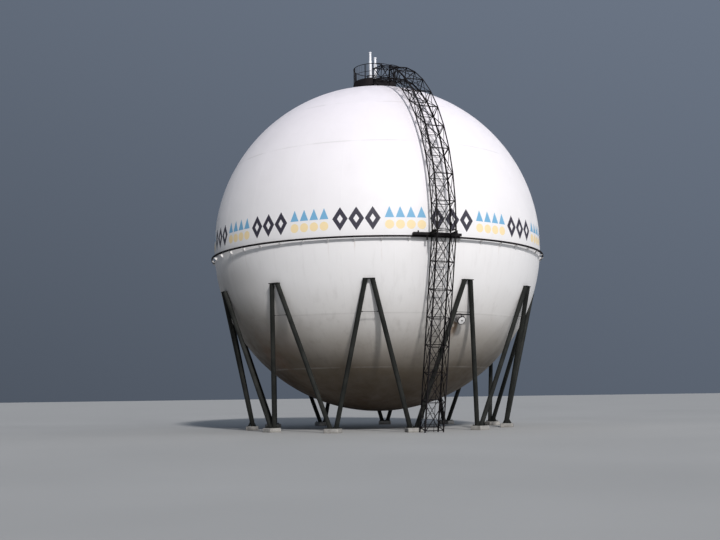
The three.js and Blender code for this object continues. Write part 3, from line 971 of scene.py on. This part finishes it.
# The chords run on past the bays and end level at the ground and the landing, upright at the deck
level_cut = (1.0 / cos(GANTRY_LEAN), 0.0)
slope_chords = [(slope_at(level), level, level_cut) for level in (0.0, LANDING_TOP - TOUCH)]
arch_foot = (arch_stations[0][0], LANDING_TOP, (1.0, 0.0))
arch_chords = [arch_foot, *arch_stations, deck_station()]
sections = {"lower": (slope_stations, slope_chords), "arch": (arch_stations, arch_chords)}


def on_gantry(station, across, depth):
    radius, height, out = station
    return local(GANTRY_AZIMUTH, across, radius + depth * out[0], height + depth * out[1])


def out_axis(station):
    return on_gantry(station, 0.0, 1.0) - on_gantry(station, 0.0, 0.0)


def carried(shape, stations, across, depth, profile):
    """A bar that follows the gantry at one place of its section."""
    frames = [(on_gantry(station, across, depth), GANTRY_SIDE, out_axis(station)) for station in stations]
    sweep(shape, frames, profile)


def side_frame(stations, chords, side):
    """Two chords with level ties, crossed diagonals and gussets between them."""
    shape = Shape()
    across = side * HALF_WIDTH
    depths = (-HALF_DEPTH, HALF_DEPTH)
    for depth in depths:
        profile = angle_section(CHORD, CHORD_WALL, side, copysign(1, depth))
        carried(shape, chords, across, depth, profile)
    for station in stations:
        inner, outer = (on_gantry(station, across, depth) for depth in depths)
        bar(shape, inner, outer, angle_section(TIE, TIE_WALL, side, 1), GANTRY_SIDE)
        out = out_axis(station).normalized()
        thin = GANTRY_SIDE * GUSSET_HALF
        for middle in (inner + out * GUSSET_INSET, outer - out * GUSSET_INSET):
            bar(shape, middle - thin, middle + thin, rectangle(*GUSSET), out)
    for station, later in zip(stations, stations[1:]):
        for lean in (-1, 1):
            shift = GANTRY_SIDE * CROSSING_SHIFT * lean
            low = on_gantry(station, across, lean * HALF_DEPTH) + shift
            high = on_gantry(later, across, -lean * HALF_DEPTH) + shift
            bar(shape, low, high, angle_section(DIAGONAL, DIAGONAL_WALL, side, lean), GANTRY_SIDE)
    return shape


cross_half = HALF_WIDTH - CHORD / 2 - TOUCH


def braced_face(stations, face):
    """Level ties and crossed diagonals of the outer (1) or inner (-1) face."""
    shape = Shape()
    depth = face * HALF_DEPTH
    reach = cross_half - DIAGONAL_INSET
    for station in stations:
        left, right = (on_gantry(station, across, depth) for across in (-cross_half, cross_half))
        bar(shape, left, right, angle_section(TIE, TIE_WALL, face, 1), out_axis(station))
    for station, later in zip(stations, stations[1:]):
        for lean in (-1, 1):
            shift = out_axis(station).normalized() * CROSSING_SHIFT * lean
            low = on_gantry(station, lean * reach, depth) + shift
            high = on_gantry(later, -lean * reach, depth) + shift
            bar(shape, low, high, angle_section(DIAGONAL, DIAGONAL_WALL, lean, face), out_axis(station))
    return shape


def ladder(stations, chords):
    """The inner face with the ladder that it carries."""
    shape = braced_face(stations, -1)
    rails = (-LADDER_HALF, LADDER_HALF)
    for across in rails:
        carried(shape, chords, across, LADDER_DEPTH, rectangle(*STRINGER))
    for station, later in zip(stations, stations[1:]):
        low = [on_gantry(station, across, LADDER_DEPTH) for across in rails]
        high = [on_gantry(later, across, LADDER_DEPTH) for across in rails]
        rungs = round((high[0] - low[0]).length / RUNG_PITCH)
        for rung in range(rungs):
            left, right = (start.lerp(end, (rung + 0.5) / rungs) for start, end in zip(low, high))
            bar(shape, left, right, circle(RUNG_RADIUS, 8), UP)
    return shape


for label, (stations, chords) in sections.items():
    for side, word in SIDES:
        name = f"gantry_{label}_{word}_side"
        piece(name + "_angles", side_frame(stations, chords, side), lattice_coat, (name,))
    name = f"gantry_{label}_outer_face"
    piece(name + "_angles", braced_face(stations, 1), lattice_coat, (name,))
    name = f"gantry_{label}_ladder"
    piece(name + "_bars", ladder(stations, chords), lattice_coat, (name,))


# Landing: a curved walkway with edge channels, ribs and floor plate, and the beams beside the gantry
landing = Shape()
walk_start = GANTRY_AZIMUTH - LANDING_LEFT
walk_end = GANTRY_AZIMUTH + LANDING_RIGHT
walk = (walk_start, walk_end, WALK_STEPS)
floor_low = LANDING_TOP - WALK_PLATE
for back, side in ((LANDING_OUTER, -1), (LANDING_INNER, 1)):
    edge_channel = channel_section(back + side * WALK_FLANGE, back, LANDING_LOW, floor_low, WALK_WALL)
    part_ring(landing, edge_channel, *walk)
plate = corners(LANDING_INNER, LANDING_OUTER, floor_low, LANDING_TOP)
part_ring(landing, plate, *walk)
for azimuth in evenly(walk_start + 0.03, walk_end - 0.03, WALK_RIBS - 1):
    start = polar(azimuth, LANDING_INNER + 0.005, LANDING_LOW + 0.075)
    end = polar(azimuth, LANDING_OUTER - 0.005, LANDING_LOW + 0.075)
    bar(landing, start, end, rectangle(*WALK_RIB), sideways(azimuth))


# Each beam has two flanges and a web in the middle
flange_top = LANDING_TOP - 0.001
beam_parts = (
    (LANDING_BEAM / 2, flange_top - WALK_WALL, flange_top),
    (LANDING_BEAM / 2, LANDING_LOW, LANDING_LOW + WALK_WALL),
    (WALK_WALL / 2, LANDING_LOW, flange_top),
)
beam_start = LANDING_OUTER - LANDING_BEAM
beam_end = meridian(arch_low, GANTRY_MIDDLE + HALF_DEPTH)[0] + CHORD / 2
for side in (-1, 1):
    middle = side * (ENTRY_HALF + TOUCH + LANDING_BEAM / 2)
    for half, low, high in beam_parts:
        box(landing, GANTRY_AZIMUTH, (middle - half, beam_start, low), (middle + half, beam_end, high))
piece("landing_frame", landing, lattice_coat, ("ring_landing",))

# A short post on the walkway and a flanged stub below it
fittings = Shape()
post_azimuth = GANTRY_AZIMUTH - 6.8
post = polar(post_azimuth, LANDING_OUTER - 0.05, LANDING_TOP)
bar(fittings, post, post + UP * 0.09, rectangle(0.07, 0.07), sideways(post_azimuth))
stub = polar(GANTRY_AZIMUTH - 4.1, LANDING_OUTER - 0.07, LANDING_LOW)
stub_low = stub - UP * 0.26
bar(fittings, stub_low, stub, circle(0.045, 14), GANTRY_SIDE)
bar(fittings, stub_low - UP * 0.02, stub_low, circle(0.062, 14), GANTRY_SIDE)
piece("landing_fittings", fittings, lattice_coat)


# Crown deck: round plate and ring channel cut straight at the gantry, joists, posts with pads
deck = Shape()
deck_half = degrees(acos(DECK_FRONT / DECK_RADIUS))
deck_start = GANTRY_AZIMUTH + deck_half
deck_end = GANTRY_AZIMUTH + 360.0 - deck_half
beam_top = DECK_TOP - DECK_PLATE
beam_low = DECK_TOP - DECK_GAP - DECK_BEAM
edge = evenly(deck_start, deck_end, DECK_STEPS)
loft(deck, [[polar(azimuth, DECK_RADIUS, height) for azimuth in edge] for height in (beam_top, DECK_TOP)])
deck_channel = channel_section(DECK_RADIUS - DECK_FLANGE, DECK_RADIUS, beam_low, beam_top, DECK_PLATE)
part_ring(deck, deck_channel, deck_start, deck_end, DECK_STEPS)
half_front = sqrt(DECK_RADIUS ** 2 - DECK_FRONT ** 2)
front_corner = (-half_front, DECK_FRONT - DECK_PLATE, beam_low)
box(deck, GANTRY_AZIMUTH, front_corner, (half_front, DECK_FRONT, beam_top))
middle = beam_top - DECK_JOIST[1] / 2
for offset in DECK_JOISTS:
    reach = sqrt(JOIST_REACH ** 2 - offset ** 2)
    ends = [local(GANTRY_AZIMUTH, across, offset, middle) for across in (-reach, reach)]
    bar(deck, *ends, rectangle(*DECK_JOIST), sideways(GANTRY_AZIMUTH + 90.0))
shell_top = CENTRE.z + sqrt(RADIUS ** 2 - DECK_POST_RADIUS ** 2)
for post in range(DECK_POSTS):
    azimuth = GANTRY_AZIMUTH + 360.0 / DECK_POSTS * (post + 0.5)
    box(deck, azimuth, (-0.06, 1.37, shell_top - 0.01), (0.06, 1.43, beam_low + 0.02))
    box(deck, azimuth, (-0.11, 1.30, shell_top - 0.018), (0.11, 1.47, shell_top + 0.018))
piece("crown_deck_frame", deck, lattice_coat, ("crown_deck",))

# Railing: a whole top hoop, and a middle hoop, toe board, posts and infill that leave the entry free
railing = Shape()
entry_angle = degrees(asin((ENTRY_HALF + TOUCH + RAIL_BAR / 2) / RAIL_RADIUS))
rail_start = GANTRY_AZIMUTH + entry_angle
rail_end = GANTRY_AZIMUTH + 360.0 - entry_angle
rail_top = DECK_TOP + RAIL_HEIGHT - RAIL_BAR / 2


def hoop(shape, height, radius, start, end):
    """A round bar about the axis, closed when it goes the whole way round."""
    whole = end - start == 360.0
    azimuths = evenly(start, end, round((end - start) / 4.0))
    if whole:
        azimuths.pop()
    frames = [(polar(azimuth, RAIL_RADIUS, height), sideways(azimuth - 90.0), UP) for azimuth in azimuths]
    sweep(shape, frames, circle(radius, 12), whole)


hoop(railing, rail_top, RAIL_BAR / 2, 0.0, 360.0)
hoop(railing, DECK_TOP + MIDDLE_RAIL, MIDDLE_BAR, rail_start, rail_end)
toe = corners(RAIL_RADIUS - 0.004, RAIL_RADIUS + 0.002, DECK_TOP + TOUCH, DECK_TOP + TOE_BOARD)
part_ring(railing, toe, rail_start, rail_end, DECK_STEPS)
posts = [rail_start, rail_end] + [GANTRY_AZIMUTH + 45.0 * step for step in range(1, 8)]
for azimuth in posts:
    base = polar(azimuth, RAIL_RADIUS, DECK_TOP + TOUCH)
    bar(railing, base, base + UP * (RAIL_HEIGHT - 0.02), rectangle(RAIL_BAR, RAIL_BAR), sideways(azimuth))
infill = round((rail_end - rail_start) / INFILL_TURN)
for azimuth in evenly(rail_start, rail_end, infill)[1:-1]:
    base = polar(azimuth, RAIL_RADIUS, DECK_TOP + TOE_BOARD - 0.01)
    bar(railing, base, base + UP * (RAIL_HEIGHT - 0.14), circle(INFILL_BAR, 6), sideways(azimuth))
piece("platform_railing_bars", railing, rail_coat, ("platform_railing",))

# Braces at the entry, and handrails that run from the hoop down onto the top of the arch
HANDRAIL = ((1.75, 0.27), (2.25, 0.17), (2.8, 0.06), (3.2, -0.02))
outer_chord = GANTRY_MIDDLE + HALF_DEPTH + CHORD / 2


def over_arch(across, reach, above):
    """A point above the arch's outer chords, that far from the axis."""
    return local(GANTRY_AZIMUTH, across, reach, CENTRE.z + sqrt(outer_chord ** 2 - reach ** 2) + above)


entry = Shape()
apex = polar(GANTRY_AZIMUTH, RAIL_RADIUS - 0.03, rail_top)
for side in (-1, 1):
    azimuth = GANTRY_AZIMUTH + side * entry_angle
    bar(entry, apex, polar(azimuth, RAIL_RADIUS - 0.06, DECK_TOP + 0.02), circle(0.02, 10), UP)
    across = side * HALF_WIDTH
    path = [polar(azimuth, RAIL_RADIUS, rail_top)]
    path += [over_arch(across, reach, above) for reach, above in HANDRAIL]
    pipe(entry, path, 0.024, 10)
    bar(entry, over_arch(across, HANDRAIL[0][0], -0.02), path[1], circle(0.016, 8), GANTRY_SIDE)
piece("platform_entry_rails", entry, rail_coat)


# Vent pipes with collars and caps


def upright(shape, x, y, profile):
    """A turned form about an upright axis through (x, y)."""
    rows = [[Vector((x + u, y + v, height)) for u, v in circle(radius, 32)] for radius, height in profile]
    loft(shape, rows)


collars = Shape()
crown = CENTRE.z + RADIUS
for name, x, depth, radius, shoulder, height in VENTS:
    y = CENTRE.y + depth
    base = CENTRE.z + sqrt(RADIUS ** 2 - x ** 2 - depth ** 2) - 0.01
    band = crown + shoulder * 0.55
    top = crown + height
    vent = Shape()
    upright(vent, x, y, [
        (radius * 1.5, base), (radius * 1.5, base + 0.03), (radius, base + 0.035), (radius, band),
        (radius * 1.12, band + 0.005), (radius * 1.12, band + 0.05), (radius, band + 0.055),
        (radius, crown + shoulder - 0.06), (VENT_NECK, crown + shoulder), (VENT_NECK, top - 0.10),
        (VENT_NECK * 1.3, top - 0.09), (VENT_NECK * 1.3, top - 0.03), (VENT_NECK * 0.6, top),
    ])
    piece(name + "_pipe", vent, vent_coat, (name,), sharp=40.0)
    upright(collars, x, y, [(0.13, DECK_TOP), (0.13, DECK_TOP + 0.16), (0.115, DECK_TOP + 0.17)])

# A bent pipe stands on the deck beside the vents
stand_path = [(-0.45, -0.5, 0.0), (-0.45, -0.5, 0.55), (0.12, -0.45, 0.55), (0.12, -0.45, 0.0)]
pipe(collars, [Vector((x, CENTRE.y + y, DECK_TOP + rise)) for x, y, rise in stand_path], 0.03, 12)
piece("vent_collars", collars, rail_coat)


# Manway: neck with a flange, cover with bolts, handle and dish


def manway_place(points):
    """Turns points of (across, up the shell, out from the centre) to the manway."""
    out = (on_sphere(MANWAY_AZIMUTH, MANWAY_ELEVATION) - CENTRE).normalized()
    side = sideways(MANWAY_AZIMUTH)
    rise = out.cross(side)
    return [CENTRE + side * u + rise * v + out * w for u, v, w in points]


def disc(shape, profile, sides=40, u=0.0, v=0.0):
    """A turned form of (radius, distance out) points about the manway's axis or beside it."""
    rows = [manway_place([(u + a, v + b, out) for a, b in circle(radius, sides)]) for radius, out in profile]
    loft(shape, rows)


far = RADIUS + MANWAY_REACH
flange_low = far - FLANGE_THICKNESS
neck = Shape()
disc(neck, [
    (PAD_RADIUS, RADIUS - 0.02), (PAD_RADIUS, RADIUS + 0.012), (NECK_RADIUS, RADIUS + 0.014),
    (NECK_RADIUS, flange_low), (FLANGE_RADIUS, flange_low), (FLANGE_RADIUS, far),
])
piece("manway_neck_flange", neck, neck_shade_coat, ("manway_neck",))

cover = Shape()
near = far + TOUCH
face = near + COVER_THICKNESS
disc(cover, [(FLANGE_RADIUS, near), (FLANGE_RADIUS, face), (0.225, face + 0.008), (0.222, face)])
for u, v in circle(COVER_BOLT_CIRCLE, COVER_BOLTS):
    disc(cover, [(0.012, face - 0.002), (0.012, face + 0.016)], 6, u, v)
handle = ((-0.06, 0.0), (-0.06, 0.055), (0.06, 0.055), (0.06, 0.0))
pipe(cover, manway_place([(u, 0.03, face + out) for u, out in handle]), 0.014, 8)
piece("manway_cover_ring", cover, rail_coat, ("manway_cover",))

dish = Shape()
dish_profile = ((0.22, 0.001), (0.214, 0.010), (0.15, 0.018), (0.07, 0.023), (0.01, 0.024))
disc(dish, [(radius, face + out) for radius, out in dish_profile])
piece("manway_cover_dish", dish, bracket_coat)

# Bar between the two legs above the manway, with two lugs that carry the cover
lifting = Shape()
bar(lifting, *rod_ends(MANWAY_AZIMUTH, LIFTING_DOWN), circle(LIFTING_BAR, 12), UP)
for aside in (-0.07, 0.07):
    upper = leg_point(MANWAY_AZIMUTH, aside, LIFTING_DOWN)
    lower = manway_place([(aside, 0.2, face + 0.006)])[0]
    bar(lifting, upper, lower, rectangle(0.03, 0.014), sideways(MANWAY_AZIMUTH))
piece("manway_lifting_bar", lifting, rail_coat)


# Floor, lights and camera
FLOOR_SIZE = 1200.0
floor_mesh = bpy.data.meshes.new("floor")
floor_mesh.from_pydata([(x, y, 0.0) for x, y in rectangle(FLOOR_SIZE, FLOOR_SIZE)], [], [(0, 1, 2, 3)])
floor_mesh.materials.append(floor_paint("floor_paint"))
floor = placed("floor", floor_mesh)

# The sky is brighter overhead and towards the right, and dim low down on the left
SKY_COLOUR = (0.19, 0.23, 0.30, 1.0)
SKY_BRIGHT_SIDE = (0.3, 0.0, 0.9)
SKY_RANGE = (-0.3, 0.95, 0.28, 1.15)
sky = Nodes(bpy.data.worlds.new("studio"), "Background")
heading = sky.where["Generated"]
facing = sky.add("ShaderNodeVectorMath", heading, SKY_BRIGHT_SIDE, operation="DOT_PRODUCT")
strength = sky.spread(facing.outputs["Value"], *SKY_RANGE, kind="LINEAR")
sky.fill(sky.shader, Color=SKY_COLOUR, Strength=strength)
bpy.context.scene.world = sky.block


def sunlight(name, azimuth, elevation, energy, spread, colour):
    """A far lamp that shines from the given azimuth and height."""
    data = bpy.data.lights.new(name, "SUN")
    data.energy = energy
    data.angle = radians(spread)
    data.color = colour
    towards = on_sphere(azimuth, elevation) - CENTRE
    placed(name, data).matrix_world = towards.to_track_quat("Z", "Y").to_matrix().to_4x4()


sunlight("key", 19.5, 34.0, 3.0, 5.0, (1.0, 0.975, 0.97))
sunlight("fill", 52.0, 3.0, 1.35, 100.0, (1.0, 0.99, 0.98))

CAMERA_AZIMUTH = 2.7
CAMERA_DISTANCE = 66.25
CAMERA_HEIGHT = 2.16
CAMERA_YAW = -0.14
CAMERA_PITCH = 6.97
CAMERA_ROLL = -0.78
FOCAL_PIXELS = 1013.8
IMAGE_WIDTH = 720
SENSOR = 36.0
AXIS_RIGHT = 15.0
AXIS_DOWN = 0.5

optics = bpy.data.cameras.new("camera")
optics.sensor_width = SENSOR
optics.lens = FOCAL_PIXELS / IMAGE_WIDTH * SENSOR
optics.shift_x = -AXIS_RIGHT / IMAGE_WIDTH
optics.shift_y = AXIS_DOWN / IMAGE_WIDTH
optics.clip_end = 2000.0
camera = placed("camera", optics)
stand = Matrix.Translation(polar(CAMERA_AZIMUTH, CAMERA_DISTANCE, CAMERA_HEIGHT))
turn = Matrix.Rotation(radians(CAMERA_AZIMUTH - CAMERA_YAW), 4, "Z")
tilt = Matrix.Rotation(radians(90.0 + CAMERA_PITCH), 4, "X")
camera.matrix_world = stand @ turn @ tilt @ Matrix.Rotation(radians(CAMERA_ROLL), 4, "Z")
bpy.context.scene.camera = camera

bpy.context.scene.view_settings.view_transform = "Standard"
bpy.context.scene.view_settings.look = "None"
